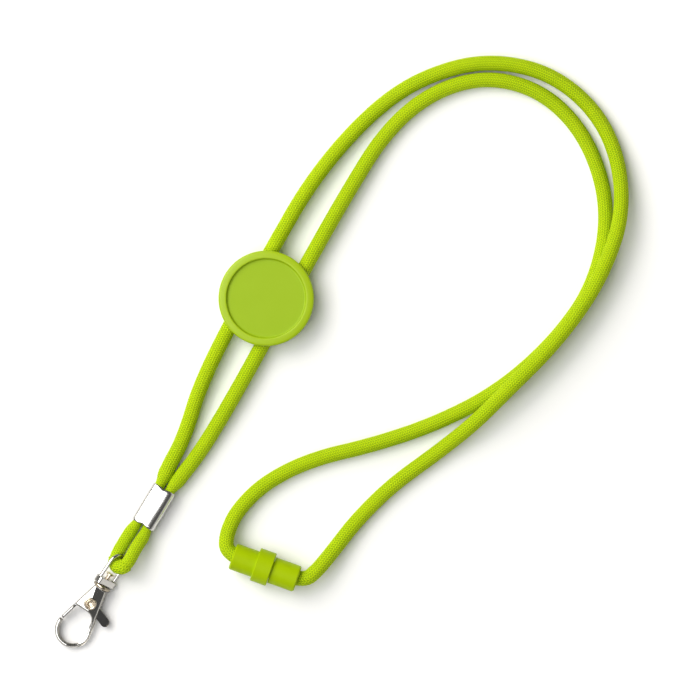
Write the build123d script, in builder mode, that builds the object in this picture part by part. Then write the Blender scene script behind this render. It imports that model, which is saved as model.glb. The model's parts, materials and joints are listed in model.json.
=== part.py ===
from build123d import *
import math
import os

os.makedirs("parts", exist_ok=True)

# A round-cord lanyard, in millimetres, lying flat on a table at z = 0 with its front up.
# The origin is the centre of the disc slider's back face.

# Cord
cord_diameter = 5.0
loop_cord_diameter = 4.4  # the same cord, pulled tight round the swivel eye
corner_share = 0.45  # part of the shorter run beside a corner that the corner's arc takes
release_gap = 0.25  # half the gap in the outer strand at the release pivot

# Disc slider
slider_diameter = 31.5
slider_height = 8.9
slider_angle = 28.75  # from +Y towards +X, along the two strands
slider_edge_radius = 0.6
recess_diameter = 26.2
recess_depth = 1.0
recess_edge_radius = 0.3
channel_offset = 6.25
channel_height = 4.1  # the shells part here, at the middle of the channels
channel_clearance = 0.35
channel_flare = 0.6
channel_flare_length = 2.5
pin_diameter = 1.8
pin_length = 2.4
pin_chamfer = 0.3
pin_socket_clearance = 0.03
pin_row_offset = 9.5
pin_side_offset = 12.3
core_width = 4.6
core_length = 12.0
core_depth = 2.5

# Crimp ferrule and the cord squeezed in it
ferrule_center = (-37.22, -68.77, 3.1)
ferrule_angle = 31.0  # from +Y towards +X
ferrule_length = 14.1
ferrule_width = 8.3
ferrule_thickness = 6.2
ferrule_corner_radius = 2.5
ferrule_wall = 0.6
ferrule_seam = 0.25
crimped_width = 3.4
crimped_height = 4.8
crimped_offset = 1.75

# Breakaway connector
connector_left_end = (-11.06, -84.94, 5.65)
connector_angle = -19.65  # the axis, from +X
connector_length = 22.7
connector_diameter = 8.9
connector_chamfer = 0.45
collar_start = 7.9
collar_end = 13.5
collar_diameter = 11.3
collar_chamfer = 0.25
cord_bore_clearance = 0.12
socket_cord_depth = 4.3
plug_cord_depth = 3.85
mating_gap = 0.1
plug_tip = 7.2
plug_diameter = 5.8
plug_tip_chamfer = 0.5
plug_bump_position = 8.6
plug_bump_height = 0.15
plug_bump_width = 1.0
plug_slot = 1.0
socket_floor = 6.6
socket_diameter = 6.5
socket_groove_depth = 0.25
socket_groove_width = 1.6

# Swivel hook: its axis runs from the claw up to the eye
swivel_origin = (-54.19, -94.97, 3.62)
swivel_angle = 34.0  # from +Y towards +X
swivel_rise = 5.08  # the eye end lies higher than the claw
eye_turn = 48.0  # the eye is turned about the swivel axis
eye_wire = 1.2
eye_width = 8.0
eye_apex = 12.7
crossbar_bottom = 0.75
crossbar_top = 2.95
crossbar_thickness = 3.0
crossbar_edge = 0.4
flange_diameter = 6.2
flange_half_thickness = 0.6
stud_diameter = 1.6
stud_bottom = -2.4
stud_clearance = 0.06
stud_head_diameter = 3.0
stud_head_bottom = 4.6
stud_head_top = 5.2
stud_head_dome = 0.25

# Hook body, in the plane of the claw
claw_center = -17.4
claw_outer_radius = 6.0
claw_inner_radius = 4.65
claw_thickness = 3.0
body_top = -0.3
body_top_half_width = 2.15
body_thickness = 4.4
body_taper_start = -10.0
body_taper_end = -14.0
loop_top = -9.7
loop_corner_radius = 3.2
loop_corner_x = 0.5
claw_nose = -16.4
slot_thickness = 2.0
slot_top = -4.0
slot_bottom = -11.4
body_edge = 0.35
body_reach = 30.0

# Gate lever, its rivet and its spring
pivot_y = -6.77
rivet_shank_diameter = 1.9
rivet_head_diameter = 4.2
rivet_head_thickness = 0.5
rivet_bore_diameter = 1.3
rivet_groove_diameter = 2.5
rivet_groove_width = 0.3
rivet_groove_depth = 0.15
rivet_clearance = 0.05
hub_radius = 2.5
lever_thickness = 1.8
gate_thickness = 2.8
gate_thick_start = -10.4
gate_tip = -16.1
gate_root_inner = (-3.45, -9.9)
gate_root_outer = (-4.4, -9.9)
gate_tip_inner = (-4.75, gate_tip)
gate_tip_outer = (-5.75, -15.6)
tab_reach = 7.4
tab_drop = -9.6
tab_radius = 1.5
spring_wire = 0.3
spring_coil_radius = 1.4
spring_pitch = 0.36
spring_turns = 2.25
spring_lift = 0.3  # from the pocket's floor to the middle of the first turn
spring_arm_reach = 2.2
spring_arm_height = 1.0
spring_pocket_radius = 1.75
spring_pocket_depth = 1.3
spring_notch_width = 0.5
spring_notch_length = 2.6
spring_hole_diameter = 0.45
spring_hole_spare = 0.2  # how much deeper than the arm its hole in the front cheek is

# Cord routes. Each strand's points were laid out by hand.
inner_strand_route = [
    (-27.9, -58.5, 2.9),
    (-20.8, -49.2, 2.6),
    (-9.8, -30.8, 4.1),
    (12.2, 9.3, 4.1),
    (26.5, 34.6, 4.0),
    (39.7, 55.8, 2.6),
    (55.5, 68.8, 2.5),
    (74.1, 73.5, 2.5),
    (92.7, 67.7, 2.5),
    (106.7, 52.1, 2.5),
    (113.4, 28.9, 2.5),
    (108.5, 4.1, 2.5),
    (94.7, -15.0, 2.5),
    (76.6, -30.8, 2.5),
    (56.5, -41.2, 2.5),
    (35.5, -48.3, 2.5),
    (15.1, -53.0, 2.5),
    (-0.1, -60.5, 2.6),
    (-9.4, -69.6, 3.3),
    (-13.2, -77.6, 4.8),
    (-13.2, -84.15, 5.65),
    (-7.1, -86.35, 5.65),
]
outer_strand_start_route = [
    (-32.5, -55.8, 2.9),
    (-27.1, -45.9, 2.6),
    (-20.7, -24.8, 4.1),
    (1.7, 16.1, 4.1),
    (15.8, 40.4, 4.0),
    (34.5, 61.6, 2.6),
    (51.4, 73.2, 2.5),
]
outer_strand_end_route = [
    (73.2, 79.1, 2.5),
    (96.2, 73.9, 2.5),
    (113.6, 56.3, 2.6),
    (118.6, 30.2, 6.4),
    (110.3, 6.3, 8.1),
    (95.8, -14.1, 8.1),
    (77.9, -31.8, 8.2),
    (68.6, -41.2, 5.7),
    (56.0, -51.2, 2.6),
    (41.5, -61.6, 2.5),
    (30.0, -73.0, 2.6),
    (23.0, -82.0, 3.7),
    (17.0, -89.5, 5.2),
    (12.4, -93.3, 5.65),
    (6.75, -91.28, 5.65),
]
hook_loop_route = [
    (-44.3, -76.1, 3.0),
    (-47.1, -79.1, 2.4),
    (-50.7, -85.0, 2.35),
    (-49.6, -88.6, 4.5),
    (-46.2, -88.5, 7.2),
    (-42.6, -81.6, 5.2),
    (-40.4, -78.5, 3.7),
]


def corner_radii(route):
    """Return the arc that each corner of a cord's route takes, limp cord drawn as round as it goes."""
    points = [Vector(*point) for point in route]
    radii = []
    for before, corner, after in zip(points, points[1:], points[2:]):
        run_in = corner - before
        run_out = after - corner
        half_turn = math.radians(run_in.get_angle(run_out) / 2)
        radii.append(corner_share * min(run_in.length, run_out.length) / math.tan(half_turn))
    return radii


def report_cord(name, tube, line, route, diameter):
    """Print a cord tube's length, its tightest arc, and its volume over section times length."""
    length = line.wire().length
    ratio = tube.volume / (math.pi * diameter**2 / 4 * length)
    arcs = ", ".join(f"{radius:.1f}" for radius in corner_radii(route))
    print(f"{name}: length {length:.1f}, volume over section times length {ratio:.4f}, arcs {arcs}")


def axis_plane(origin, angle, rise=0.0, turn=0.0):
    """Plane whose y runs at an angle from +Y towards +X and climbs by rise, turned about that y."""
    heading = math.radians(angle)
    climb = math.radians(rise)
    roll = math.radians(turn)
    level = Vector(math.cos(heading), -math.sin(heading), 0)
    along = Vector(
        math.sin(heading) * math.cos(climb), math.cos(heading) * math.cos(climb), math.sin(climb)
    )
    x_dir = level * math.cos(roll) - level.cross(along) * math.sin(roll)
    return Plane(origin=origin, x_dir=x_dir, z_dir=x_dir.cross(along))


slider_plane = axis_plane((0, 0, 0), slider_angle)
ferrule_plane = axis_plane(ferrule_center, ferrule_angle)
hook_plane = axis_plane(swivel_origin, swivel_angle, swivel_rise)
eye_plane = axis_plane(swivel_origin, swivel_angle, swivel_rise, eye_turn)
connector_plane = Plane(
    origin=connector_left_end,
    x_dir=(math.cos(math.radians(connector_angle)), math.sin(math.radians(connector_angle)), 0),
)

# ---------------------------------------------------------------- cord
before_pivot = Vector(*outer_strand_start_route[-1])
after_pivot = Vector(*outer_strand_end_route[0])
release_pivot = (before_pivot + after_pivot) / 2
strand_direction = (after_pivot - before_pivot).normalized()
fixed_route = outer_strand_start_route + [tuple(release_pivot - strand_direction * release_gap)]
free_route = [tuple(release_pivot + strand_direction * release_gap)] + outer_strand_end_route

with BuildPart() as cord_inner_strand:
    with BuildLine() as inner_line:
        FilletPolyline(*inner_strand_route, radius=corner_radii(inner_strand_route))
    with BuildSketch(Plane(origin=inner_line.line @ 0, z_dir=inner_line.line % 0)):
        Circle(cord_diameter / 2)
    sweep(path=inner_line.line)
cord_inner_strand.part.label = "cord_inner_strand"

with BuildPart() as cord_outer_strand_fixed:
    with BuildLine() as fixed_line:
        FilletPolyline(*fixed_route, radius=corner_radii(fixed_route))
    with BuildSketch(Plane(origin=fixed_line.line @ 0, z_dir=fixed_line.line % 0)):
        Circle(cord_diameter / 2)
    sweep(path=fixed_line.line)
cord_outer_strand_fixed.part.label = "cord_outer_strand_fixed"

with BuildPart() as cord_outer_strand_free:
    with BuildLine() as free_line:
        FilletPolyline(*free_route, radius=corner_radii(free_route))
    with BuildSketch(Plane(origin=free_line.line @ 0, z_dir=free_line.line % 0)):
        Circle(cord_diameter / 2)
    sweep(path=free_line.line)
cord_outer_strand_free.part.label = "cord_outer_strand_free"

with BuildPart() as hook_loop_cord:
    with BuildLine() as loop_line:
        FilletPolyline(*hook_loop_route, radius=corner_radii(hook_loop_route))
    with BuildSketch(Plane(origin=loop_line.line @ 0, z_dir=loop_line.line % 0)):
        Circle(loop_cord_diameter / 2)
    sweep(path=loop_line.line)
hook_loop_cord.part.label = "hook_loop_cord"

# The two strands side by side in the ferrule, each opening out to a round cord at both ends.
strand_ends = [
    (-crimped_offset, fixed_line.line @ 0, fixed_line.line % 0, loop_line.line @ 0, loop_line.line % 0),
    (crimped_offset, inner_line.line @ 0, inner_line.line % 0, loop_line.line @ 1, (loop_line.line % 1) * -1),
]
across = ferrule_plane.x_dir
along = ferrule_plane.y_dir
with BuildPart() as crimped_cord:
    for offset_across, top_point, top_direction, bottom_point, bottom_direction in strand_ends:
        center = ferrule_plane.origin + across * offset_across
        top_mouth = Plane(origin=center + along * (ferrule_length / 2), x_dir=across, z_dir=along)
        bottom_mouth = Plane(origin=center - along * (ferrule_length / 2), x_dir=across, z_dir=along)
        top_end = Plane(origin=top_point, x_dir=across, z_dir=top_direction)
        bottom_end = Plane(origin=bottom_point, x_dir=across, z_dir=bottom_direction * -1)
        with BuildSketch(bottom_mouth):
            Ellipse(crimped_width / 2, crimped_height / 2)
        extrude(amount=ferrule_length)
        with BuildSketch(top_mouth):
            Ellipse(crimped_width / 2, crimped_height / 2)
        with BuildSketch(top_end):
            Circle(cord_diameter / 2)
        loft()
        with BuildSketch(bottom_end):
            Circle(loop_cord_diameter / 2)
        with BuildSketch(bottom_mouth):
            Ellipse(crimped_width / 2, crimped_height / 2)
        loft()
crimped_cord.part.label = "crimped_cord"

# ---------------------------------------------------------------- crimp ferrule
ferrule_end_plane = Plane(
    origin=ferrule_plane.origin - along * (ferrule_length / 2), x_dir=across, z_dir=along
)
with BuildPart() as crimp_ferrule:
    with BuildSketch(ferrule_end_plane):
        RectangleRounded(ferrule_width, ferrule_thickness, ferrule_corner_radius)
        offset(amount=-ferrule_wall, mode=Mode.SUBTRACT)
    extrude(amount=ferrule_length)
    with BuildSketch(ferrule_plane):
        Rectangle(ferrule_seam, ferrule_length)
    extrude(amount=-ferrule_thickness, mode=Mode.SUBTRACT)
crimp_ferrule.part.label = "crimp_ferrule"

# ---------------------------------------------------------------- disc slider
channel_radius = cord_diameter / 2 + channel_clearance
channel_places = [(-channel_offset, 0), (channel_offset, 0)]
pin_places = [(0, pin_row_offset), (0, -pin_row_offset), (pin_side_offset, 0), (-pin_side_offset, 0)]
channel_plane = slider_plane.offset(channel_height)
channel_section_plane = Plane(
    origin=channel_plane.origin, x_dir=channel_plane.x_dir, z_dir=channel_plane.y_dir
)

# The space that both shells leave for the two strands, with flared mouths.
with BuildPart() as channel_space:
    with BuildSketch(channel_section_plane):
        with Locations(*channel_places):
            Circle(channel_radius)
    extrude(amount=slider_diameter / 2, both=True)
    for mouth_side in (1, -1):
        mouth_plane = channel_section_plane.offset(mouth_side * slider_diameter / 2)
        throat_plane = channel_section_plane.offset(
            mouth_side * (slider_diameter / 2 - channel_flare_length)
        )
        for channel_place in channel_places:
            with BuildSketch(mouth_plane):
                with Locations(channel_place):
                    Circle(channel_radius + channel_flare)
            with BuildSketch(throat_plane):
                with Locations(channel_place):
                    Circle(channel_radius)
            loft()

with BuildPart() as slider_back_shell:
    with BuildSketch(slider_plane):
        Circle(slider_diameter / 2)
    extrude(amount=channel_height)
    fillet(slider_back_shell.edges().sort_by(Axis.Z)[0], radius=slider_edge_radius)
    with BuildSketch(channel_plane):
        with Locations(*pin_places):
            Circle(pin_diameter / 2 + pin_socket_clearance)
    extrude(amount=-pin_length - pin_chamfer, mode=Mode.SUBTRACT)
    with BuildSketch(channel_plane):
        Rectangle(core_width, core_length)
    extrude(amount=-core_depth, mode=Mode.SUBTRACT)
    add(channel_space.part, mode=Mode.SUBTRACT)
slider_back_shell.part.label = "slider_back_shell"

with BuildPart() as slider_front_shell:
    with BuildSketch(channel_plane):
        Circle(slider_diameter / 2)
    extrude(amount=slider_height - channel_height)
    fillet(slider_front_shell.edges().sort_by(Axis.Z)[-1], radius=slider_edge_radius)
    with BuildSketch(slider_plane.offset(slider_height)):
        Circle(recess_diameter / 2)
    extrude(amount=-recess_depth, mode=Mode.SUBTRACT)
    recess_edge = slider_front_shell.faces().sort_by(Axis.Z)[-1].edges().sort_by(SortBy.LENGTH)[0]
    fillet(recess_edge, radius=recess_edge_radius)
    add(channel_space.part, mode=Mode.SUBTRACT)
    with BuildSketch(channel_plane):
        with Locations(*pin_places):
            Circle(pin_diameter / 2)
    extrude(amount=-pin_length)
    pin_ends = slider_front_shell.edges().group_by(Axis.Z)[0]
    chamfer(pin_ends, length=pin_chamfer)
slider_front_shell.part.label = "slider_front_shell"

# ---------------------------------------------------------------- breakaway connector
connector_radius = connector_diameter / 2
collar_radius = collar_diameter / 2
bore_radius = cord_diameter / 2 + cord_bore_clearance
socket_radius = socket_diameter / 2
groove_start = plug_bump_position - socket_groove_width / 2
groove_end = plug_bump_position + socket_groove_width / 2

with BuildPart() as breakaway_socket:
    with BuildSketch(connector_plane):
        Polygon(
            (0, bore_radius + connector_chamfer),
            (0, connector_radius - connector_chamfer),
            (connector_chamfer, connector_radius),
            (collar_start, connector_radius),
            (collar_start, collar_radius - collar_chamfer),
            (collar_start + collar_chamfer, collar_radius),
            (collar_end - collar_chamfer, collar_radius),
            (collar_end, collar_radius - collar_chamfer),
            (collar_end, socket_radius),
            (groove_end, socket_radius),
            (groove_end, socket_radius + socket_groove_depth),
            (groove_start, socket_radius + socket_groove_depth),
            (groove_start, socket_radius),
            (socket_floor, socket_radius),
            (socket_floor, 0),
            (socket_cord_depth, 0),
            (socket_cord_depth, bore_radius),
            (connector_chamfer, bore_radius),
            align=None,
        )
    revolve(axis=Axis(connector_plane.origin, connector_plane.x_dir))
breakaway_socket.part.label = "breakaway_socket"

plug_radius = plug_diameter / 2
plug_shoulder = collar_end + mating_gap
bump_start = plug_bump_position - plug_bump_width / 2
bump_end = plug_bump_position + plug_bump_width / 2
with BuildPart() as breakaway_plug:
    with BuildSketch(connector_plane):
        Polygon(
            (plug_tip, 0),
            (plug_tip, plug_radius - plug_tip_chamfer),
            (plug_tip + plug_tip_chamfer, plug_radius),
            (bump_start, plug_radius),
            (plug_bump_position, plug_radius + plug_bump_height),
            (bump_end, plug_radius),
            (plug_shoulder, plug_radius),
            (plug_shoulder, connector_radius),
            (connector_length - connector_chamfer, connector_radius),
            (connector_length, connector_radius - connector_chamfer),
            (connector_length, bore_radius + connector_chamfer),
            (connector_length - connector_chamfer, bore_radius),
            (connector_length - plug_cord_depth, bore_radius),
            (connector_length - plug_cord_depth, 0),
            align=None,
        )
    revolve(axis=Axis(connector_plane.origin, connector_plane.x_dir))
    with BuildSketch(connector_plane):
        with Locations(((plug_tip + collar_end) / 2, 0)):
            Rectangle(collar_end - plug_tip, plug_slot)
    extrude(amount=plug_radius * 2, both=True, mode=Mode.SUBTRACT)
breakaway_plug.part.label = "breakaway_plug"

# ---------------------------------------------------------------- swivel eye and stud
wire_radius = eye_wire / 2
leg_offset = eye_width / 2 - wire_radius
arch_center = eye_apex - eye_width / 2
hook_section = Plane(origin=hook_plane.origin, x_dir=hook_plane.x_dir, z_dir=hook_plane.y_dir)
eye_section = Plane(origin=eye_plane.origin, x_dir=eye_plane.x_dir, z_dir=eye_plane.y_dir)

with BuildPart() as swivel_eye:
    with BuildLine(eye_plane) as eye_wire_line:
        Line((-leg_offset, crossbar_bottom + eye_wire), (-leg_offset, arch_center))
        RadiusArc((-leg_offset, arch_center), (leg_offset, arch_center), leg_offset)
        Line((leg_offset, arch_center), (leg_offset, crossbar_bottom + eye_wire))
    with BuildSketch(Plane(origin=eye_wire_line.line @ 0, z_dir=eye_wire_line.line % 0)):
        Circle(wire_radius)
    sweep(path=eye_wire_line.line)
    with BuildSketch(eye_section.offset(crossbar_bottom)):
        RectangleRounded(eye_width, crossbar_thickness, crossbar_edge * 2)
    extrude(amount=crossbar_top - crossbar_bottom)
    with BuildSketch(eye_section):
        Circle(stud_diameter / 2 + stud_clearance)
    extrude(amount=crossbar_top + eye_wire, mode=Mode.SUBTRACT)
swivel_eye.part.label = "swivel_eye"

with BuildPart() as swivel_stud:
    with BuildSketch(hook_section.offset(stud_bottom)):
        Circle(stud_diameter / 2)
    extrude(amount=stud_head_bottom - stud_bottom)
    with BuildSketch(hook_section.offset(stud_head_bottom)):
        Circle(stud_head_diameter / 2)
    extrude(amount=stud_head_top - stud_head_bottom)
    head_edge = swivel_stud.edges().sort_by(Axis(hook_plane.origin, hook_plane.y_dir))[-1]
    chamfer(head_edge, length=stud_head_dome)
swivel_stud.part.label = "swivel_stud"

# ---------------------------------------------------------------- hook body
side_plane = Plane(origin=hook_plane.origin, x_dir=hook_plane.y_dir, z_dir=hook_plane.x_dir * -1)
half_body = body_thickness / 2
half_claw = claw_thickness / 2
pivot_plane = Plane(
    origin=hook_plane.origin + hook_plane.y_dir * pivot_y, x_dir=hook_plane.x_dir, z_dir=hook_plane.z_dir
)
half_lever = lever_thickness / 2
pocket_floor = half_lever - spring_pocket_depth
with BuildLine(pivot_plane.offset(pocket_floor + spring_lift)) as coil_line:
    Helix(pitch=spring_pitch, height=spring_pitch * spring_turns, radius=spring_coil_radius)
coil_start = coil_line.line @ 0
coil_end = coil_line.line @ 1
coil_tangent = pivot_plane.z_dir.cross(coil_start - pivot_plane.origin).normalized()
standing_arm_plane = Plane(origin=coil_end, z_dir=pivot_plane.z_dir)
lying_arm_plane = Plane(origin=coil_start, x_dir=coil_tangent, z_dir=pivot_plane.z_dir)
claw_end = claw_center - claw_outer_radius

with BuildPart() as hook_body:
    with BuildSketch(hook_plane):
        with Locations((0, claw_center)):
            Circle(claw_outer_radius)
        with Locations((0, body_top - body_top_half_width)):
            Rectangle(2 * body_top_half_width, 2 * body_top_half_width)
        make_hull()
        with BuildSketch(hook_plane, mode=Mode.SUBTRACT):
            with Locations((0, claw_center)):
                Circle(claw_inner_radius)
            with Locations((loop_corner_x, loop_top - loop_corner_radius)):
                Circle(loop_corner_radius)
            make_hull()
            Polygon(
                (loop_corner_x, loop_top),
                (-body_reach, loop_top),
                (-body_reach, claw_nose),
                (0, claw_nose),
                align=None,
            )
    extrude(amount=half_body, both=True)
    with BuildSketch(side_plane):
        Polygon(
            (body_top, half_body),
            (body_taper_start, half_body),
            (body_taper_end, half_claw),
            (claw_end, half_claw),
            (claw_end, -half_claw),
            (body_taper_end, -half_claw),
            (body_taper_start, -half_body),
            (body_top, -half_body),
            align=None,
        )
    extrude(amount=body_reach, both=True, mode=Mode.INTERSECT)
    rims = hook_body.edges().filter_by(
        lambda edge: abs(hook_plane.to_local_coords(edge.center()).Z) > half_claw - body_edge
    )
    chamfer(rims, length=body_edge)
    with BuildSketch(hook_plane):
        with Locations((0, (slot_top + slot_bottom) / 2)):
            Rectangle(body_reach, slot_top - slot_bottom)
    extrude(amount=slot_thickness / 2, both=True, mode=Mode.SUBTRACT)
    with BuildSketch(hook_plane):
        with Locations((0, pivot_y)):
            Circle(rivet_shank_diameter / 2)
    extrude(amount=body_thickness, both=True, mode=Mode.SUBTRACT)
    with BuildSketch(hook_section.offset(-flange_half_thickness)):
        Circle(flange_diameter / 2)
    extrude(amount=2 * flange_half_thickness)
    with BuildSketch(hook_section.offset(stud_bottom)):
        Circle(stud_diameter / 2)
    extrude(amount=flange_half_thickness - stud_bottom, mode=Mode.SUBTRACT)
    with BuildSketch(standing_arm_plane):
        Circle(spring_hole_diameter / 2)
    extrude(amount=spring_arm_height + spring_hole_spare, mode=Mode.SUBTRACT)
hook_body.part.label = "hook_body"

# ---------------------------------------------------------------- gate lever, rivet and spring
with BuildPart() as gate_lever:
    with BuildSketch(hook_plane):
        with Locations((0, pivot_y)):
            Circle(hub_radius)
        Polygon(
            (0, pivot_y + hub_radius),
            gate_root_outer,
            gate_tip_outer,
            gate_tip_inner,
            gate_root_inner,
            (0, pivot_y - hub_radius),
            align=None,
        )
    extrude(amount=half_lever, both=True)
    with BuildSketch(hook_plane):
        with Locations((0, pivot_y)):
            Circle(tab_radius)
        with Locations((tab_reach, tab_drop)):
            Circle(tab_radius)
        make_hull()
    extrude(amount=half_lever, both=True)
    with BuildSketch(hook_plane):
        with BuildLine():
            Polyline(gate_root_outer, gate_tip_outer, gate_tip_inner, gate_root_inner, close=True)
        make_face()
        with BuildSketch(hook_plane, mode=Mode.INTERSECT):
            with Locations((0, (gate_thick_start + gate_tip) / 2)):
                Rectangle(body_reach, gate_thick_start - gate_tip)
    extrude(amount=gate_thickness / 2, both=True)
    with BuildSketch(pivot_plane.offset(half_lever)):
        Circle(spring_pocket_radius)
    extrude(amount=-spring_pocket_depth, mode=Mode.SUBTRACT)
    with BuildSketch(lying_arm_plane.offset(-spring_lift)):
        with Locations((-spring_notch_length / 2, 0)):
            Rectangle(spring_notch_length, spring_notch_width)
    extrude(amount=spring_pocket_depth, mode=Mode.SUBTRACT)
    with BuildSketch(pivot_plane):
        Circle(rivet_shank_diameter / 2 + rivet_clearance)
    extrude(amount=lever_thickness, both=True, mode=Mode.SUBTRACT)
gate_lever.part.label = "gate_lever"

with BuildPart() as gate_rivet:
    with BuildSketch(pivot_plane):
        Circle(rivet_shank_diameter / 2)
    extrude(amount=half_body, both=True)
    for face_side in (1, -1):
        with BuildSketch(pivot_plane.offset(face_side * half_body)):
            Circle(rivet_head_diameter / 2)
        extrude(amount=face_side * rivet_head_thickness)
        head_top = pivot_plane.offset(face_side * (half_body + rivet_head_thickness))
        with BuildSketch(head_top):
            Circle(rivet_groove_diameter / 2 + rivet_groove_width)
            Circle(rivet_groove_diameter / 2, mode=Mode.SUBTRACT)
        extrude(amount=-face_side * rivet_groove_depth, mode=Mode.SUBTRACT)
    with BuildSketch(pivot_plane):
        Circle(rivet_bore_diameter / 2)
    extrude(amount=body_thickness, both=True, mode=Mode.SUBTRACT)
gate_rivet.part.label = "gate_rivet"

# A torsion spring round the rivet: one arm lies in the lever's notch, the other stands in the front
# cheek of the body.
with BuildPart() as gate_spring:
    with BuildSketch(Plane(origin=coil_start, z_dir=coil_line.line % 0)):
        Circle(spring_wire / 2)
    sweep(path=coil_line.line, is_frenet=True)
    with BuildSketch(Plane(origin=coil_start, z_dir=(coil_line.line % 0) * -1)):
        Circle(spring_wire / 2)
    extrude(amount=spring_arm_reach)
    with BuildSketch(standing_arm_plane):
        Circle(spring_wire / 2)
    extrude(amount=spring_arm_height)
gate_spring.part.label = "gate_spring"

export_step(cord_inner_strand.part, "parts/cord_inner_strand.step")
export_step(cord_outer_strand_fixed.part, "parts/cord_outer_strand_fixed.step")
export_step(cord_outer_strand_free.part, "parts/cord_outer_strand_free.step")
export_step(hook_loop_cord.part, "parts/hook_loop_cord.step")
export_step(crimped_cord.part, "parts/crimped_cord.step")
export_step(crimp_ferrule.part, "parts/crimp_ferrule.step")
export_step(slider_back_shell.part, "parts/slider_back_shell.step")
export_step(slider_front_shell.part, "parts/slider_front_shell.step")
export_step(breakaway_socket.part, "parts/breakaway_socket.step")
export_step(breakaway_plug.part, "parts/breakaway_plug.step")
export_step(swivel_eye.part, "parts/swivel_eye.step")
export_step(swivel_stud.part, "parts/swivel_stud.step")
export_step(hook_body.part, "parts/hook_body.step")
export_step(gate_lever.part, "parts/gate_lever.step")
export_step(gate_rivet.part, "parts/gate_rivet.step")
export_step(gate_spring.part, "parts/gate_spring.step")

report_cord("inner strand", cord_inner_strand.part, inner_line, inner_strand_route, cord_diameter)
report_cord("outer strand, fixed", cord_outer_strand_fixed.part, fixed_line, fixed_route, cord_diameter)
report_cord("outer strand, free", cord_outer_strand_free.part, free_line, free_route, cord_diameter)
report_cord("hook loop", hook_loop_cord.part, loop_line, hook_loop_route, loop_cord_diameter)
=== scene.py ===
import json
import math

import bpy
import numpy as np
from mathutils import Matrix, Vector
from mathutils.kdtree import KDTree


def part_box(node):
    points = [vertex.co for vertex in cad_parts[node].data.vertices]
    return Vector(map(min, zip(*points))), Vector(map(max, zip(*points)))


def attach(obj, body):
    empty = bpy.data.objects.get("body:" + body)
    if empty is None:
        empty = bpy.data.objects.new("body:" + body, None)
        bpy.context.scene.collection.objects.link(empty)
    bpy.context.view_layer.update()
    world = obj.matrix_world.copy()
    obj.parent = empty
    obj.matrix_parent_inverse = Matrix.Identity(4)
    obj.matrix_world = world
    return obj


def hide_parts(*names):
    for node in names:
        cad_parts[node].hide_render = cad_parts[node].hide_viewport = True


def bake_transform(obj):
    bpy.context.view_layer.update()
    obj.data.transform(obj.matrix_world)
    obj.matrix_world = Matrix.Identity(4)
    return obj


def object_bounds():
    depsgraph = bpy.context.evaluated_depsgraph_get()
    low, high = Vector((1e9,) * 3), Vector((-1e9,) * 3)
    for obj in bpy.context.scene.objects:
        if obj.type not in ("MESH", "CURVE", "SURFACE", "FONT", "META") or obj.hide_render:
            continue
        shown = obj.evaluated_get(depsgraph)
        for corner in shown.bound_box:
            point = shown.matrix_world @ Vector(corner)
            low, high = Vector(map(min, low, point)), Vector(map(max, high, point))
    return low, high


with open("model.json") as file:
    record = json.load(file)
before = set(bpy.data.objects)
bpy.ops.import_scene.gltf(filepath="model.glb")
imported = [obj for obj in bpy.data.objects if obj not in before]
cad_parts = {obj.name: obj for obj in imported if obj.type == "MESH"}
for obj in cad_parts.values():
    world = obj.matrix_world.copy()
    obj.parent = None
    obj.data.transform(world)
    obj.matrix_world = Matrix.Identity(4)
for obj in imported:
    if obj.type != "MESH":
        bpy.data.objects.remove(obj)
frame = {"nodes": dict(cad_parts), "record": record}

MM = 0.001
cad_box = [list(corner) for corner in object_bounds()]
joints = {joint["name"]: joint for joint in frame["record"]["behaviour"]["joints"]}

# ---------------------------------------------------------------- sizes, in metres
CORD_DIAMETER = 5.0 * MM
LOOP_DIAMETER = 4.3 * MM
BRAID_COLUMNS = 18
COLUMN_STEPS = 3
STITCH_LENGTH = 0.85 * MM
STITCH_STEPS = 3
STITCH_SLANT = 1.0  # how many stitches a yarn climbs across one column
BRAID_RELIEF = 0.24 * MM
BRAID_SINK = 0.88  # how much of the relief lies below the nominal surface

# The ferrule, where the two strands are squeezed side by side.
ferrule_low, ferrule_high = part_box("crimp_ferrule")
FERRULE_CENTER = (Vector(ferrule_low) + Vector(ferrule_high)) / 2
FERRULE_ALONG = Vector((0.51504, 0.85717, 0.0))
FERRULE_ACROSS = Vector((0.85717, -0.51504, 0.0))
FERRULE_HALF = 7.05 * MM
SQUEEZED_WIDTH = 3.4 * MM
SQUEEZED_HEIGHT = 4.8 * MM
SQUEEZE_FADE = 4.5 * MM

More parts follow.
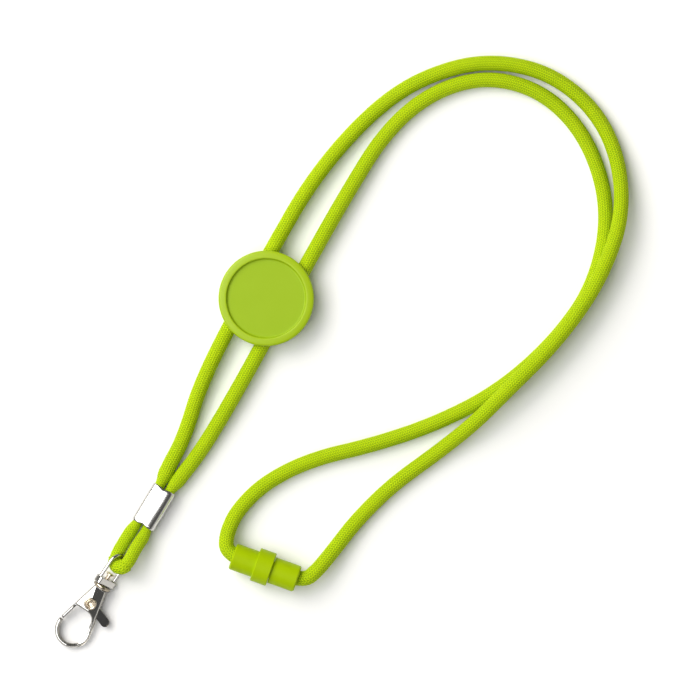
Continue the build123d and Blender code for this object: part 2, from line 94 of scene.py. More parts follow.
# ---------------------------------------------------------------- cord routes, in metres
# From the connector's socket round the neck loop, through the slider and the ferrule,
# round the swivel eye, and back into the ferrule.
INNER_ROUTE = [
    (-0.0071, -0.08635, 0.00565),
    (-0.0132, -0.08415, 0.00565),
    (-0.0132, -0.0776, 0.0048),
    (-0.0094, -0.0696, 0.0033),
    (-0.0001, -0.0605, 0.0026),
    (0.0151, -0.0530, 0.0025),
    (0.0355, -0.0483, 0.0025),
    (0.0565, -0.0412, 0.0025),
    (0.0766, -0.0308, 0.0025),
    (0.0947, -0.0150, 0.0025),
    (0.1085, 0.0041, 0.0025),
    (0.1134, 0.0289, 0.0025),
    (0.1067, 0.0521, 0.0025),
    (0.0927, 0.0677, 0.0025),
    (0.0741, 0.0735, 0.0025),
    (0.0555, 0.0688, 0.0025),
    (0.0397, 0.0558, 0.0026),
    (0.0265, 0.0346, 0.0040),
    (0.0122, 0.0093, 0.0041),
    (-0.0098, -0.0308, 0.0041),
    (-0.0208, -0.0492, 0.0026),
    (-0.0279, -0.0585, 0.0029),
    (-0.0321, -0.0636, 0.0031),
    (-0.0394, -0.0757, 0.0031),
    (-0.0404, -0.0785, 0.0037),
    (-0.0426, -0.0816, 0.0052),
    (-0.0462, -0.0885, 0.0072),
    (-0.0496, -0.0886, 0.0045),
    (-0.0499, -0.0852, 0.00235),
    (-0.0463, -0.0792, 0.0024),
    (-0.0443, -0.0761, 0.0030),
    (-0.0424, -0.0739, 0.0031),
    (-0.0387, -0.0679, 0.0031),
]
# From inside the ferrule through the slider and round the neck loop to the connector's plug.
OUTER_ROUTE = [
    (-0.0387, -0.0679, 0.0031),
    (-0.0351, -0.0618, 0.0031),
    (-0.0325, -0.0558, 0.0029),
    (-0.0271, -0.0459, 0.0026),
    (-0.0207, -0.0248, 0.0041),
    (0.0017, 0.0161, 0.0041),
    (0.0158, 0.0404, 0.0040),
    (0.0345, 0.0616, 0.0026),
    (0.0514, 0.0732, 0.0025),
    (0.0732, 0.0791, 0.0025),
    (0.0962, 0.0739, 0.0025),
    (0.1136, 0.0563, 0.0026),
    (0.1186, 0.0302, 0.0064),
    (0.1103, 0.0063, 0.0081),
    (0.0958, -0.0141, 0.0081),
    (0.0779, -0.0318, 0.0082),
    (0.0686, -0.0412, 0.0057),
    (0.0560, -0.0512, 0.0026),
    (0.0415, -0.0616, 0.0025),
    (0.0300, -0.0730, 0.0026),
    (0.0230, -0.0820, 0.0037),
    (0.0170, -0.0895, 0.0052),
    (0.0124, -0.0933, 0.00565),
    (0.00675, -0.09128, 0.00565),
]


# ---------------------------------------------------------------- node helpers
class Nodes:
    """A material's node tree, with short calls for the nodes used here."""

    def __init__(self, name):
        self.material = bpy.data.materials.new(name)
        self.material.use_nodes = True
        self.tree = self.material.node_tree
        self.shader = self.tree.nodes["Principled BSDF"]

    def link(self, source, target):
        self.tree.links.new(source, target)

    def math(self, operation, *values):
        node = self.tree.nodes.new("ShaderNodeMath")
        node.operation = operation
        for socket, value in zip(node.inputs, values):
            if isinstance(value, (int, float)):
                socket.default_value = value
            else:
                self.link(value, socket)
        return node.outputs[0]

    def coordinates(self, kind):
        return self.tree.nodes.new("ShaderNodeTexCoord").outputs[kind]

    def noise(self, vector, scale, detail=3.0):
        node = self.tree.nodes.new("ShaderNodeTexNoise")
        node.inputs["Scale"].default_value = scale
        node.inputs["Detail"].default_value = detail
        self.link(vector, node.inputs["Vector"])
        return node.outputs["Fac"]

    def ramp(self, factor, *stops):
        node = self.tree.nodes.new("ShaderNodeValToRGB")
        elements = node.color_ramp.elements
        while len(elements) < len(stops):
            elements.new(0.5)
        for element, (position, color) in zip(elements, stops):
            element.position = position
            element.color = (*color, 1.0)
        self.link(factor, node.inputs["Fac"])
        return node.outputs["Color"]

    def mix(self, factor, color_a, color_b):
        node = self.tree.nodes.new("ShaderNodeMix")
        node.data_type = "RGBA"
        sockets = (node.inputs[0], node.inputs[6], node.inputs[7])
        for socket, value in zip(sockets, (factor, color_a, color_b)):
            if isinstance(value, (int, float)):
                socket.default_value = value
            elif isinstance(value, tuple):
                socket.default_value = (*value, 1.0)
            else:
                self.link(value, socket)
        return node.outputs[2]

    def range(self, value, low, high):
        node = self.tree.nodes.new("ShaderNodeMapRange")
        node.inputs["To Min"].default_value = low
        node.inputs["To Max"].default_value = high
        self.link(value, node.inputs["Value"])
        return node.outputs["Result"]

    def bump(self, height, distance, strength=1.0, under=None):
        node = self.tree.nodes.new("ShaderNodeBump")
        node.inputs["Strength"].default_value = strength
        node.inputs["Distance"].default_value = distance
        self.link(height, node.inputs["Height"])
        if under is not None:
            self.link(under, node.inputs["Normal"])
        self.link(node.outputs["Normal"], self.shader.inputs["Normal"])
        return node.outputs["Normal"]

    def set(self, **values):
        for name, value in values.items():
            self.shader.inputs[name.replace("_", " ")].default_value = value


def evened(mesh, values, rounds):
    """The values averaged with their neighbours over the mesh, to take the grain out of them."""
    ends = np.empty(2 * len(mesh.edges), dtype=np.int32)
    mesh.edges.foreach_get("vertices", ends)
    first, second = ends[0::2], ends[1::2]
    count = len(values)
    neighbours = np.bincount(first, minlength=count) + np.bincount(second, minlength=count)
    for _ in range(rounds):
        sums = np.bincount(first, values[second], count) + np.bincount(second, values[first], count)
        values = 0.5 * values + 0.5 * sums / np.maximum(neighbours, 1)
    return values


# ---------------------------------------------------------------- materials
# Noise scales are in cycles a metre.
THREADS_PER_YARN = 14.0
YARN_BUMP = 0.16 * MM
GRAIN_BUMP = 0.012 * MM
WAVE_BUMP = 0.006 * MM
MARK_BUMP = 0.001 * MM
# Painted shade: a dark colour laid on the metal's sides that turn away from its polished faces, standing in
# for the dark reflections there. The RIM_ values set where it starts, how it fades, how it is evened and how
# deep it goes.
PAINTED_EDGE_SHADE = (0.17, 0.155, 0.12)
RIM_START = 0.82
RIM_FADE = 0.30
RIM_ROUNDS = 2
RIM_DEPTH = 0.85


def braid_material():
    """Polyester yarns in a herringbone, read from the tube's own braid columns and stitch counts."""
    nodes = Nodes("braided_cord")
    count = nodes.tree.nodes.new("ShaderNodeSeparateXYZ")
    nodes.link(nodes.coordinates("UV"), count.inputs[0])
    column, stitch = count.outputs[0], count.outputs[1]
    across = nodes.math("FRACT", column)
    pair = nodes.math("FRACT", nodes.math("MULTIPLY", column, 0.5))
    second = nodes.math("GREATER_THAN", pair, 0.5)
    side = nodes.math("SUBTRACT", nodes.math("MULTIPLY", second, 2.0), 1.0)
    climb = nodes.math("MULTIPLY", nodes.math("SUBTRACT", across, 0.5), side)
    phase = nodes.math("ADD", stitch, nodes.math("MULTIPLY", climb, STITCH_SLANT))
    yarn = nodes.math("ABSOLUTE", nodes.math("SINE", nodes.math("MULTIPLY", phase, math.pi)))
    flank = nodes.math("POWER", nodes.math("SINE", nodes.math("MULTIPLY", across, math.pi)), 0.5)
    relief = nodes.math("MULTIPLY", yarn, flank)
    threads = nodes.math("SINE", nodes.math("MULTIPLY", phase, THREADS_PER_YARN * math.pi))
    surface = nodes.coordinates("Object")
    patches = nodes.noise(surface, 90.0)
    specks = nodes.noise(surface, 1100.0, 3.0)
    # Painted shade in the gaps between yarns and painted highlight on their crests: the base colour runs from
    # dark in the gaps to pale on the crests with the yarn relief.
    body = nodes.ramp(
        relief, (0.16, (0.09, 0.22, 0.0)), (0.42, (0.37, 0.58, 0.0)), (0.78, (0.66, 0.83, 0.0))
    )
    warm = nodes.mix(nodes.range(patches, 0.0, 0.45), body, (0.62, 0.72, 0.0))
    tinted = nodes.mix(nodes.range(specks, 0.0, 0.55), warm, (0.29, 0.51, 0.0))
    nodes.link(tinted, nodes.shader.inputs["Base Color"])
    nodes.link(nodes.range(relief, 0.85, 0.6), nodes.shader.inputs["Roughness"])
    fine = nodes.math("ADD", relief, nodes.math("MULTIPLY", threads, 0.06))
    nodes.bump(fine, YARN_BUMP, 0.8)
    nodes.set(IOR=1.45, Specular_IOR_Level=0.22)
    return nodes.material


def plastic_material(name, color, deep, roughness, shine):
    """Satin moulded plastic, a little cloudy, with faint flow mottling and a fine moulded grain."""
    nodes = Nodes(name)
    surface = nodes.coordinates("Object")
    cloud = nodes.noise(surface, 140.0, 4.0)
    grain = nodes.noise(surface, 5200.0, 2.0)
    nodes.link(nodes.mix(nodes.range(cloud, 0.0, 0.6), color, deep), nodes.shader.inputs["Base Color"])
    nodes.link(nodes.range(cloud, roughness - 0.07, roughness + 0.09), nodes.shader.inputs["Roughness"])
    nodes.bump(grain, GRAIN_BUMP, 0.5)
    nodes.set(Subsurface_Weight=0.06, Subsurface_Scale=0.001, IOR=1.46, Specular_IOR_Level=shine)
    nodes.shader.inputs["Subsurface Radius"].default_value = (0.8, 1.0, 0.15)
    return nodes.material


def metal_material(name, color, worn, roughness):
    """Plated metal: polish that varies a little, faint casting waves and fine rubbed marks."""
    nodes = Nodes(name)
    surface = nodes.coordinates("Object")
    patches = nodes.noise(surface, 420.0, 4.0)
    waves = nodes.noise(surface, 700.0, 1.0)
    stretch = nodes.tree.nodes.new("ShaderNodeMapping")
    stretch.inputs["Scale"].default_value = (1.0, 7.0, 3.0)
    nodes.link(surface, stretch.inputs["Vector"])
    marks = nodes.noise(stretch.outputs["Vector"], 1900.0, 5.0)
    # Painted shade: the rim attribute mixes the colour towards the dark edge colour on the turned-away sides.
    rim = nodes.tree.nodes.new("ShaderNodeAttribute")
    rim.attribute_name = "rim"
    plated = nodes.mix(nodes.range(patches, 0.0, 0.45), color, worn)
    nodes.link(nodes.mix(rim.outputs["Fac"], plated, PAINTED_EDGE_SHADE), nodes.shader.inputs["Base Color"])
    nodes.link(nodes.range(marks, roughness * 0.6, roughness * 1.6), nodes.shader.inputs["Roughness"])
    casting = nodes.bump(waves, WAVE_BUMP, 0.3)
    nodes.bump(marks, MARK_BUMP, 0.3, under=casting)
    nodes.set(Metallic=1.0)
    return nodes.material


def paint_edge_shade(mesh, face_direction, depth=RIM_DEPTH):
    """Mark how far each vertex turns away from the polished faces, where painted shade darkens the colour in
    place of the dark reflections on those sides.
    """
    normals = np.array([vertex.normal for vertex in mesh.vertices])
    facing = np.abs(normals @ np.array(face_direction))
    turned = np.clip((RIM_START - facing) / RIM_FADE, 0.0, 1.0)
    turned = depth * evened(mesh, turned, RIM_ROUNDS)
    rim = mesh.attributes.new("rim", "FLOAT", "POINT")
    rim.data.foreach_set("value", turned.astype(np.float32))


def floor_material():
    """A pale, very faintly clouded table top."""
    nodes = Nodes("table_top")
    clouds = nodes.noise(nodes.coordinates("Object"), 9.0)
    pale = nodes.mix(clouds, (0.96, 0.96, 0.965), (0.98, 0.98, 0.985))
    nodes.link(pale, nodes.shader.inputs["Base Color"])
    nodes.set(Roughness=0.8)
    return nodes.material


BRAID = braid_material()
DISC_PLASTIC = plastic_material("disc_plastic", (0.315, 0.475, 0.004), (0.285, 0.44, 0.002), 0.40, 0.27)
# Painted light: a paler, lit copy of the disc plastic for the top of the raised rim.
LIT_RIM_PLASTIC = plastic_material("lit_rim_plastic", (0.36, 0.52, 0.008), (0.33, 0.485, 0.004), 0.36, 0.34)
CLIP_PLASTIC = plastic_material("clip_plastic", (0.365, 0.515, 0.0), (0.325, 0.47, 0.0), 0.44, 0.10)
NICKEL = metal_material("nickel", (0.84, 0.83, 0.81), (0.74, 0.73, 0.70), 0.17)
WARM_NICKEL = metal_material("warm_nickel", (0.74, 0.64, 0.50), (0.60, 0.50, 0.37), 0.2)
DARK_NICKEL = metal_material("dark_nickel", (0.50, 0.50, 0.50), (0.40, 0.40, 0.41), 0.16)
SPRING_STEEL = metal_material("spring_steel", (0.55, 0.55, 0.56), (0.42, 0.42, 0.43), 0.22)


def dress(node, material):
    """Give a CAD node its material."""
    for place in frame["nodes"][node].material_slots:
        place.material = material


# ---------------------------------------------------------------- cords
def spline_line(name, route):
    """Points down the smooth NURBS line whose control points are the route, as an array in metres."""
    curve = bpy.data.curves.new(name, "CURVE")
    curve.dimensions = "3D"
    curve.resolution_u = 32
    spline = curve.splines.new("NURBS")
    spline.points.add(len(route) - 1)
    for place, point in zip(spline.points, route):
        place.co = (*point, 1.0)
    spline.order_u = 3
    spline.use_endpoint_u = True
    holder = bpy.data.objects.new(name, curve)
    mesh = bpy.data.meshes.new_from_object(holder)
    line = np.array([vertex.co for vertex in mesh.vertices])
    bpy.data.meshes.remove(mesh)
    bpy.data.curves.remove(curve)
    return line


def spaced(line, step):
    """Points about one step apart along a line, and how far along each lies."""
    along = np.concatenate([[0], np.cumsum(np.linalg.norm(np.diff(line, axis=0), axis=1))])
    places = np.linspace(0, along[-1], int(round(along[-1] / step)) + 1)
    return np.stack([np.interp(places, along, line[:, k]) for k in range(3)], axis=1), places


def frames_along(centers):
    """Two directions square to the line at each point, carried along it without twisting."""
    tangents = np.gradient(centers, axis=0)
    tangents /= np.linalg.norm(tangents, axis=1)[:, None]
    sideways = np.cross(tangents[0], (0, 0, 1.0))
    sides = []
    for tangent in tangents:
        sideways = sideways - tangent * (sideways @ tangent)
        sideways = sideways / np.linalg.norm(sideways)
        sides.append(sideways)
    sides = np.array(sides)
    return sides, np.cross(tangents, sides)


def fade(distance, length):
    """1 at or below no distance, falling smoothly to 0 at the given length."""
    t = np.clip(1 - distance / length, 0, 1)
    return t * t * (3 - 2 * t)


def braid_height(column, stitch):
    """The yarns' relief, from 0 in the gaps to 1 on the crests."""
    across = column % 1.0
    side = np.where((column % 2.0) >= 1.0, 1.0, -1.0)
    phase = stitch + side * STITCH_SLANT * (across - 0.5)
    return np.abs(np.sin(np.pi * phase)) ** 0.7 * np.sqrt(np.sin(np.pi * across))


def braided_cord(name, route):
    """A braided tube along a route: real yarn relief, squeezed in the ferrule and tight round the eye."""
    centers, places = spaced(spline_line(name, route), STITCH_LENGTH / STITCH_STEPS)
    sides, ups = frames_along(centers)
    around = BRAID_COLUMNS * COLUMN_STEPS
    columns = (np.arange(around) + 0.5) / COLUMN_STEPS
    stitches = places / STITCH_LENGTH
    ring, turn = np.meshgrid(np.arange(len(centers)), np.arange(around), indexing="ij")
    height = braid_height(columns[turn], stitches[ring])

    ferrule = np.array(FERRULE_CENTER)
    from_ferrule = centers - ferrule
    past_mouth = np.abs(from_ferrule @ np.array(FERRULE_ALONG)) - FERRULE_HALF
    beside = np.linalg.norm(from_ferrule, axis=1) < 3 * FERRULE_HALF
    squeeze = np.where(beside, fade(past_mouth, SQUEEZE_FADE), 0.0)
    below_ferrule = -(from_ferrule @ np.array(FERRULE_ALONG)) - FERRULE_HALF
    tight = np.where(beside & (below_ferrule > 0), 1.0 - fade(below_ferrule, SQUEEZE_FADE), 0.0)
    radius = CORD_DIAMETER / 2 + (LOOP_DIAMETER - CORD_DIAMETER) / 2 * tight

    angle = 2 * np.pi * columns[turn] / BRAID_COLUMNS
    reach = radius[ring] + BRAID_RELIEF * (height - BRAID_SINK)
    outward = sides[ring] * np.cos(angle)[..., None] + ups[ring] * np.sin(angle)[..., None]
    offset = outward * reach[..., None]
    for direction, size in ((FERRULE_ACROSS, SQUEEZED_WIDTH), ((0, 0, 1), SQUEEZED_HEIGHT)):
        direction = np.array(direction)
        shrink = (size / CORD_DIAMETER - 1.0) * squeeze[ring]
        offset += direction * (offset @ direction * shrink)[..., None]
    points = (centers[ring] + offset).reshape(-1, 3)

    count = len(centers)
    first = (np.arange(count - 1)[:, None] * around + np.arange(around)[None, :])
    after = (np.arange(count - 1)[:, None] * around + (np.arange(around)[None, :] + 1) % around)
    faces = np.stack([first, after, after + around, first + around], axis=-1).reshape(-1, 4)
    mesh = bpy.data.meshes.new(name)
    mesh.from_pydata(points.tolist(), [], faces.tolist())
    braid = mesh.uv_layers.new(name="braid")
    low, high = np.meshgrid(np.arange(count - 1), np.arange(around), indexing="ij")
    u = (high + 0.5) / COLUMN_STEPS
    corners_u = np.stack([u, u + 1 / COLUMN_STEPS, u + 1 / COLUMN_STEPS, u], axis=-1)
    corners_v = np.stack([stitches[low], stitches[low], stitches[low + 1], stitches[low + 1]], axis=-1)
    braid.data.foreach_set("uv", np.stack([corners_u, corners_v], axis=-1).ravel().astype(np.float32))
    mesh.polygons.foreach_set("use_smooth", [True] * len(mesh.polygons))
    mesh.materials.append(BRAID)
    mesh.update()
    cord = bpy.data.objects.new(name, mesh)
    bpy.context.scene.collection.objects.link(cord)
    return cord, centers, places[-1]


inner_cord, inner_path, inner_length = braided_cord("inner_cord", INNER_ROUTE)
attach(inner_cord, "cord")
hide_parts("cord_inner_strand", "hook_loop_cord", "crimped_cord")

outer_cord, outer_path, outer_length = braided_cord("outer_cord", OUTER_ROUTE)
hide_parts("cord_outer_strand_fixed", "cord_outer_strand_free")
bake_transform(outer_cord)

# ---------------------------------------------------------------- plastic and metal
SHAPE_ROUNDS = 3
LATHE_STEPS = 96
LATHE_BEVEL = 0.06 * MM


def settle_mesh(piece):
    """Turn the piece's modifiers into its own mesh."""
    graph = bpy.context.evaluated_depsgraph_get()
    mesh = bpy.data.meshes.new_from_object(piece.evaluated_get(graph))
    piece.modifiers.clear()
    piece.data = mesh


def reskin(node, body, material, voxel, rounds, shape=None):
    """A finer skin in place of a CAD node: the same solid with softly rounded edges, then shaped."""
    mesh = frame["nodes"][node].data.copy()
    piece = bpy.data.objects.new(node + "_skin", mesh)
    bpy.context.scene.collection.objects.link(piece)
    remesh = piece.modifiers.new("even_skin", "REMESH")
    remesh.mode = "VOXEL"
    remesh.voxel_size = voxel
    remesh.use_smooth_shade = True
    soften = piece.modifiers.new("soft_edges", "SMOOTH")
    soften.iterations = rounds
    settle_mesh(piece)
    if shape is not None:
        shape(piece.data)
        soften = piece.modifiers.new("soft_shape", "SMOOTH")
        soften.iterations = SHAPE_ROUNDS
        settle_mesh(piece)
    piece.data.materials.clear()
    piece.data.materials.append(material)
    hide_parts(node)
    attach(piece, body)
    return piece


def lathe(name, body, material, origin, axis, profile):
    """A turned piece: a closed outline of (distance along the axis, radius) points spun about the axis."""
    axis = Vector(axis).normalized()
    side = axis.orthogonal().normalized()
    up = axis.cross(side)
    points, faces = [], []
    count = len(profile)
    for step in range(LATHE_STEPS):
        angle = 2 * math.pi * step / LATHE_STEPS
        outward = side * math.cos(angle) + up * math.sin(angle)
        points += [Vector(origin) + axis * along + outward * radius for along, radius in profile]
        base = step * count
        after = (step + 1) % LATHE_STEPS * count
        for i in range(count):
            j = (i + 1) % count
            faces.append((base + i, base + j, after + j, after + i))
    mesh = bpy.data.meshes.new(name)
    mesh.from_pydata(points, [], faces)
    mesh.polygons.foreach_set("use_smooth", [True] * len(mesh.polygons))
    mesh.materials.append(material)
    # Painted shade on the turned piece's sides that turn away from its end faces.
    paint_edge_shade(mesh, axis)
    piece = bpy.data.objects.new(name, mesh)
    bpy.context.scene.collection.objects.link(piece)
    bevel = piece.modifiers.new("edges", "BEVEL")
    bevel.width = LATHE_BEVEL
    bevel.segments = 2
    bevel.limit_method = "ANGLE"
    bevel.harden_normals = True
    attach(piece, body)
    return piece


# The hook's own frame: its axis climbs from the claw to the eye, and its face is nearly level.
HOOK_ORIGIN = Vector(joints["hook_swivel"]["pos_m"])
HOOK_ALONG = Vector(joints["hook_swivel"]["axis"])
HOOK_FACE = Vector(joints["gate_hinge"]["axis"])
HOOK_ACROSS = HOOK_ALONG.cross(HOOK_FACE)
HOOK_AXES = np.array([HOOK_ACROSS, HOOK_ALONG, HOOK_FACE])
GATE_PIVOT = Vector(joints["gate_hinge"]["pos_m"])
PIVOT_ALONG = (GATE_PIVOT - HOOK_ORIGIN).dot(HOOK_ALONG)

# Where the hook's outline is looked for: outside its slot, its rivet hole and its collar.
OUTLINE_TILT = 0.45  # a side wall's normal leans less than this towards the face
OUTLINE_TOP = -1.0 * MM
PIVOT_CLEAR = 2.9 * MM
SLOT_CLEAR = 1.15 * MM
SLOT_END = -11.6 * MM
EVENING_ROUNDS = 14

# The rounding of the hook's outline, which widens towards the claw.
EDGE_ROUND = 0.66 * MM
CLAW_ROUND = 1.05 * MM
CLAW_TOP = -8.5 * MM
CLAW_FADE = 3.0 * MM
CLAW_FALL = 0.47  # how far the claw's edges fall, as a share of their reach
FULL_DROP_HEIGHT = 1.4 * MM

# The front's ridge, as (across, along) points, and the facet to its right.
RIDGE_TOP = (-1.7 * MM, -0.3 * MM)
RIDGE_BOTTOM = (1.0 * MM, -10.0 * MM)
RIDGE_SLOPE = 0.30
FACET_DEPTH = 1.2 * MM
FACET_TOP = -0.7 * MM
FACET_FADE = 0.5 * MM

FLANGE_HALF = 0.75 * MM
FLANGE_CROWN = 0.16

GATE_ROUND = 0.6 * MM
GATE_FALL = 0.75
TAB_START = 2.6 * MM
TAB_SLOPE = 0.25


def hook_coordinates(mesh):
    """Every vertex in the hook's own frame: across, along and height columns."""
    points = np.array([vertex.co for vertex in mesh.vertices]) - np.array(HOOK_ORIGIN)
    return points @ HOOK_AXES.T


def put_back(mesh, local):
    """Write back vertices given in the hook's own frame."""
    points = local @ HOOK_AXES + np.array(HOOK_ORIGIN)
    mesh.vertices.foreach_set("co", points.ravel())
    mesh.update()


def edge_drop(mesh, local, reach, chamfered=0.0):
    """How far the rounded edge lies below a flat face at each vertex, by its distance from the outline."""
    normals = np.array([vertex.normal for vertex in mesh.vertices]) @ np.array(HOOK_FACE)
    across, along, height = local.T
    outline = (np.abs(height) > SLOT_CLEAR) | (along < SLOT_END)
    outline &= along < OUTLINE_TOP
    outline &= np.hypot(across, along - PIVOT_ALONG) > PIVOT_CLEAR
    sides = np.flatnonzero((np.abs(normals) < OUTLINE_TILT) & outline)
    tree = KDTree(len(sides))
    for i in sides:
        tree.insert((local[i, 0], local[i, 1], 0.0), int(i))
    tree.balance()
    inward = np.array([tree.find((x, y, 0.0))[2] for x, y, _ in local])
    inward = evened(mesh, inward, EVENING_ROUNDS)
    outward = 1.0 - np.clip(inward / reach, 0.0, 1.0)
    rounded = 1.0 - np.sqrt(1.0 - outward ** 2)
    return reach * (rounded + (CLAW_FALL * outward ** 2 - rounded) * chamfered)


def shape_hook(mesh):
    """Round the outlines like a polished casting, and slope the front off to the right of a ridge."""
    local = hook_coordinates(mesh)
    across, along, height = local.T
    claw = np.clip((CLAW_TOP - along) / CLAW_FADE, 0.0, 1.0)
    drop = edge_drop(mesh, local, EDGE_ROUND + (CLAW_ROUND - EDGE_ROUND) * claw, claw)
    crown = 1.0 - FLANGE_CROWN * np.minimum((along / FLANGE_HALF) ** 2, 1.0)
    on_flange = np.abs(along) < FLANGE_HALF
    across = np.where(on_flange, across * crown, across)
    height = np.where(on_flange, height * crown, height)
    below_collar = np.clip((FACET_TOP - along) / FACET_FADE, 0.0, 1.0)
    share = np.clip(np.abs(height) / FULL_DROP_HEIGHT, 0.0, 1.0) * below_collar
    height = height - np.sign(height) * drop * share
    run = np.clip((along - RIDGE_TOP[1]) / (RIDGE_BOTTOM[1] - RIDGE_TOP[1]), 0.0, 1.0)
    ridge = RIDGE_TOP[0] + (RIDGE_BOTTOM[0] - RIDGE_TOP[0]) * run
    slope = np.minimum(RIDGE_SLOPE * np.maximum(across - ridge, 0.0), FACET_DEPTH)
    height = height - np.where(height > 0, slope * share, 0.0)
    put_back(mesh, np.stack([across, along, height], axis=1))


def shape_gate(mesh):
    """Round the gate and the thumb tab, and tilt the tab's face to the right."""
    local = hook_coordinates(mesh)
    across, along, height = local.T
    height = height * (1.0 - GATE_FALL * edge_drop(mesh, local, GATE_ROUND) / GATE_ROUND)
    lean = TAB_SLOPE * np.maximum(across - TAB_START, 0.0)
    height = height - np.where(height > 0, lean, 0.0)
    put_back(mesh, np.stack([across, along, height], axis=1))


# The rivet's outline in millimetres, as (along its axis, radius) points: a ringed head over a dished middle.
RIVET_OUTLINE = [
    (-2.1, 0.02), (2.3, 0.02), (2.26, 0.35), (2.34, 0.62), (2.62, 0.80), (2.70, 1.02),
    (2.58, 1.18), (2.46, 1.30), (2.56, 1.46), (2.68, 1.66), (2.62, 1.86), (2.46, 2.02),
    (2.26, 2.10), (-2.26, 2.10), (-2.62, 1.80), (-2.68, 1.1), (-2.60, 0.80), (-2.2, 0.6),
]


def round_rivet():
    """The rivet through the hook's cheeks, turned from its outline."""
    center = HOOK_ORIGIN + HOOK_ALONG * PIVOT_ALONG
    profile = [(along * MM, radius * MM) for along, radius in RIVET_OUTLINE]
    rivet = lathe("rivet_head", "hook", WARM_NICKEL, center, HOOK_FACE, profile)
    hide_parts("gate_rivet")


# The ferrule: a squarish tube, pinched at the waist, turned in at its lips and scalloped between the strands.
FERRULE_HALF_WIDTH = 4.15 * MM
FERRULE_HALF_HEIGHT = 2.98 * MM
FERRULE_ROLL = math.radians(2.5)
FERRULE_WALL = 0.6 * MM
FERRULE_SQUARENESS = 3.3  # the section's superellipse power
FERRULE_WAIST = 0.10 * MM
FERRULE_SCALLOP = 0.45 * MM
FERRULE_LIP = 0.25 * MM
FERRULE_AROUND = 120
FERRULE_RINGS = 29
FERRULE_EDGE_SHADE = 0.3
SCALLOP_WIDTH = 0.9 * MM
LIP_START = 0.9
MOUTH_START = 0.7


def ferrule_ring(share, inset):
    """One ring of the ferrule, at a share of its half length from -1 to 1."""
    lip = max(0.0, (abs(share) - LIP_START) / (1.0 - LIP_START)) ** 2 * FERRULE_LIP
    waist = FERRULE_WAIST * math.cos(share * math.pi / 2) ** 2
    mouth = max(0.0, (abs(share) - MOUTH_START) / (1.0 - MOUTH_START))
    power = 2 / FERRULE_SQUARENESS
    ring = []
    for step in range(FERRULE_AROUND):
        angle = 2 * math.pi * step / FERRULE_AROUND
        cosine, sine = math.cos(angle), math.sin(angle)
        width = FERRULE_HALF_WIDTH - inset - lip
        height = FERRULE_HALF_HEIGHT - inset - lip - waist * abs(sine)
        x = math.copysign(abs(cosine) ** power, cosine) * width
        z = math.copysign(abs(sine) ** power, sine) * height
        scallop = FERRULE_SCALLOP * math.exp(-(x / SCALLOP_WIDTH) ** 2) * mouth
        along = share * FERRULE_HALF - math.copysign(scallop, share)
        across = x * math.cos(FERRULE_ROLL) - z * math.sin(FERRULE_ROLL)
        up = Vector((0, 0, x * math.sin(FERRULE_ROLL) + z * math.cos(FERRULE_ROLL)))
        ring.append(FERRULE_CENTER + FERRULE_ACROSS * across + FERRULE_ALONG * along + up)
    return ring


def rolled_ferrule():
    """The rolled nickel tube: outside and inside skins joined round both mouths."""
    steps = [2 * i / (FERRULE_RINGS - 1) - 1 for i in range(FERRULE_RINGS)]
    shares = [math.sin(math.pi / 2 * step) for step in steps]
    rings = [ferrule_ring(share, 0.0) for share in shares]
    rings += [ferrule_ring(share, FERRULE_WALL) for share in reversed(shares)]
    points = [point for ring in rings for point in ring]
    faces = []
    for i in range(len(rings)):
        low = i * FERRULE_AROUND
        high = (i + 1) % len(rings) * FERRULE_AROUND
        for j in range(FERRULE_AROUND):
            k = (j + 1) % FERRULE_AROUND
            faces.append((low + j, low + k, high + k, high + j))
    mesh = bpy.data.meshes.new("ferrule")
    mesh.from_pydata(points, [], faces)
    mesh.polygons.foreach_set("use_smooth", [True] * len(mesh.polygons))
    mesh.materials.append(NICKEL)
    # Painted shade on the ferrule's sides that turn away from its top and bottom faces.
    paint_edge_shade(mesh, (0.0, 0.0, 1.0), FERRULE_EDGE_SHADE)
    tube = bpy.data.objects.new("ferrule_tube", mesh)
    bpy.context.scene.collection.objects.link(tube)
    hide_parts("crimp_ferrule")
    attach(tube, "cord")


disc_low, disc_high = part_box("slider_front_shell")
DISC_TOP = disc_high[2]
DISC_RADIUS = (disc_high[0] - disc_low[0]) / 2
DISC_RECESS_RADIUS = 13.1 * MM
RIM_CROWN = 0.35 * MM
CROWN_DEPTH = 1.5 * MM
LIT_RIM_DEPTH = 1.0 * MM


def shape_disc(mesh):
    """Crown the disc's rim a little, so that it falls away towards its outer edge."""
    for vertex in mesh.vertices:
        radius = math.hypot(vertex.co.x, vertex.co.y)
        across_rim = (radius - DISC_RECESS_RADIUS) / (DISC_RADIUS - DISC_RECESS_RADIUS)
        above = vertex.co.z - DISC_TOP + CROWN_DEPTH
        if above > 0 and across_rim > 0:
            vertex.co.z -= RIM_CROWN * min(across_rim, 1.0) ** 2 * above / CROWN_DEPTH


disc = reskin("slider_front_shell", "slider", DISC_PLASTIC, 0.2 * MM, 2, shape_disc)
# Painted light: the top of the rim gets the paler, lit copy of the disc plastic.
disc.data.materials.append(LIT_RIM_PLASTIC)
for face in disc.data.polygons:
    on_rim = math.hypot(face.center.x, face.center.y) > DISC_RECESS_RADIUS
    if on_rim and face.center.z > DISC_TOP - LIT_RIM_DEPTH:
        face.material_index = 1
dress("slider_back_shell", DISC_PLASTIC)
dress("breakaway_socket", CLIP_PLASTIC)
dress("breakaway_plug", CLIP_PLASTIC)
rolled_ferrule()
dress("swivel_stud", WARM_NICKEL)
dress("gate_spring", SPRING_STEEL)
hook = reskin("hook_body", "hook", NICKEL, 0.11 * MM, 5, shape_hook)
hook.data.materials.append(WARM_NICKEL)
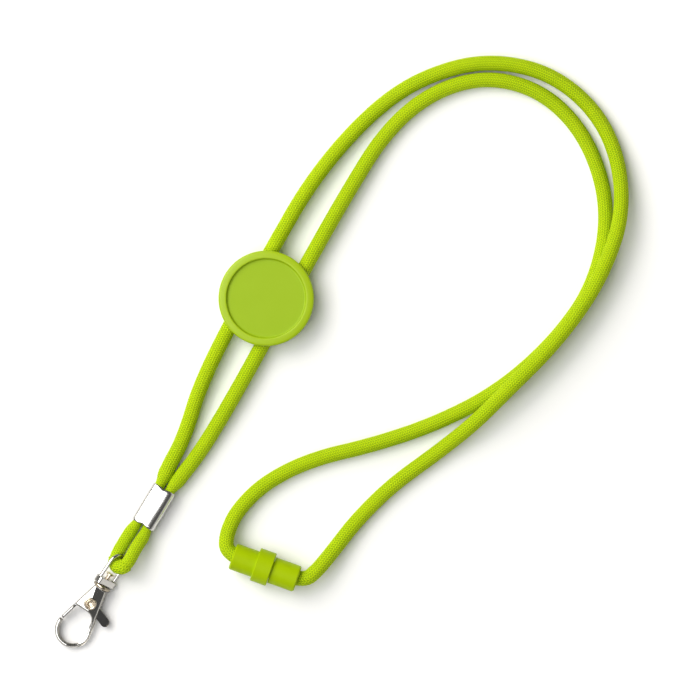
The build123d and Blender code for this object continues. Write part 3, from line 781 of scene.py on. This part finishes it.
# Painted shade on the hook's, the eye's and the gate's sides that turn away from the hook face, standing in
# for dark reflections.
paint_edge_shade(hook.data, HOOK_FACE)
for face in hook.data.polygons:
    if (face.center - HOOK_ORIGIN).dot(HOOK_ALONG) > -FLANGE_HALF:
        face.material_index = 1
wire_eye = reskin("swivel_eye", "eye", NICKEL, 0.1 * MM, 7)
paint_edge_shade(wire_eye.data, HOOK_FACE)
lever = reskin("gate_lever", "gate", DARK_NICKEL, 0.12 * MM, 4, shape_gate)
paint_edge_shade(lever.data, HOOK_FACE)
round_rivet()


# ---------------------------------------------------------------- floor, lights and camera
VIEW_CENTER = Vector((27.6, -17.0, 4.0)) * MM
VIEW_WIDTH = 231.0 * MM
LENS_MM = 300.0
SENSOR_MM = 36.0
CEILING_DIRECTION = Vector((-0.45, 0.20, 0.87)).normalized()
WORLD_STRENGTH = 0.98
# How bright the room is along the ceiling's direction, from level with it to straight at it.
WORLD_STOPS = ((0.0, 0.62), (0.08, 0.18), (0.45, 0.05), (0.86, 0.14), (0.98, 0.75))
FLOOR_HALF = 3.0


def softbox(name, place, size, power, color=(1.0, 1.0, 1.0)):
    """A square area light that faces the middle of the view."""
    light = bpy.data.lights.new(name, "AREA")
    light.shape = "SQUARE"
    light.size = size
    light.energy = power
    light.color = color
    lamp = bpy.data.objects.new(name, light)
    lamp.location = place
    lamp.rotation_euler = (VIEW_CENTER - Vector(place)).to_track_quat("-Z", "Y").to_euler()
    bpy.context.scene.collection.objects.link(lamp)


def studio_world():
    """A pale ceiling up to the left, with dark walls and a paler edge to the right."""
    world = bpy.data.worlds.new("studio")
    world.use_nodes = True
    tree = world.node_tree
    direction = tree.nodes.new("ShaderNodeTexCoord").outputs["Generated"]
    lean = tree.nodes.new("ShaderNodeVectorMath")
    lean.operation = "DOT_PRODUCT"
    lean.inputs[1].default_value = CEILING_DIRECTION
    tree.links.new(direction, lean.inputs[0])
    shade = tree.nodes.new("ShaderNodeValToRGB")
    while len(shade.color_ramp.elements) < len(WORLD_STOPS):
        shade.color_ramp.elements.new(0.5)
    for element, (position, level) in zip(shade.color_ramp.elements, WORLD_STOPS):
        element.position = position
        element.color = (level, level * 0.98, level * 0.95, 1.0)
    tree.links.new(lean.outputs["Value"], shade.inputs["Fac"])
    background = tree.nodes["Background"]
    background.inputs["Strength"].default_value = WORLD_STRENGTH
    tree.links.new(shade.outputs["Color"], background.inputs["Color"])
    bpy.context.scene.world = world


def floor():
    """The table top, level with the lowest point of the object."""
    half = FLOOR_HALF
    corners = [(-half, -half, 0), (half, -half, 0), (half, half, 0), (-half, half, 0)]
    mesh = bpy.data.meshes.new("floor")
    mesh.from_pydata(corners, [], [(0, 1, 2, 3)])
    mesh.materials.append(floor_material())
    top = bpy.data.objects.new("floor", mesh)
    top.location.z = min(cad_box[0][2], 0.0)
    bpy.context.scene.collection.objects.link(top)


floor()
studio_world()
softbox("overhead", (-1.17, -0.1, 2.33), 2.8, 58.0)
softbox("key", (-0.9, 0.9, 1.1), 1.2, 21.0, (1.0, 0.96, 0.88))

camera = bpy.data.cameras.new("camera")
camera.sensor_width = SENSOR_MM
camera.lens = LENS_MM
camera.clip_end = 10.0
eye = bpy.data.objects.new("camera", camera)
eye.location = VIEW_CENTER + Vector((0, 0, VIEW_WIDTH * LENS_MM / SENSOR_MM))
bpy.context.scene.collection.objects.link(eye)
bpy.context.scene.camera = eye
bpy.context.scene.view_settings.view_transform = "Standard"
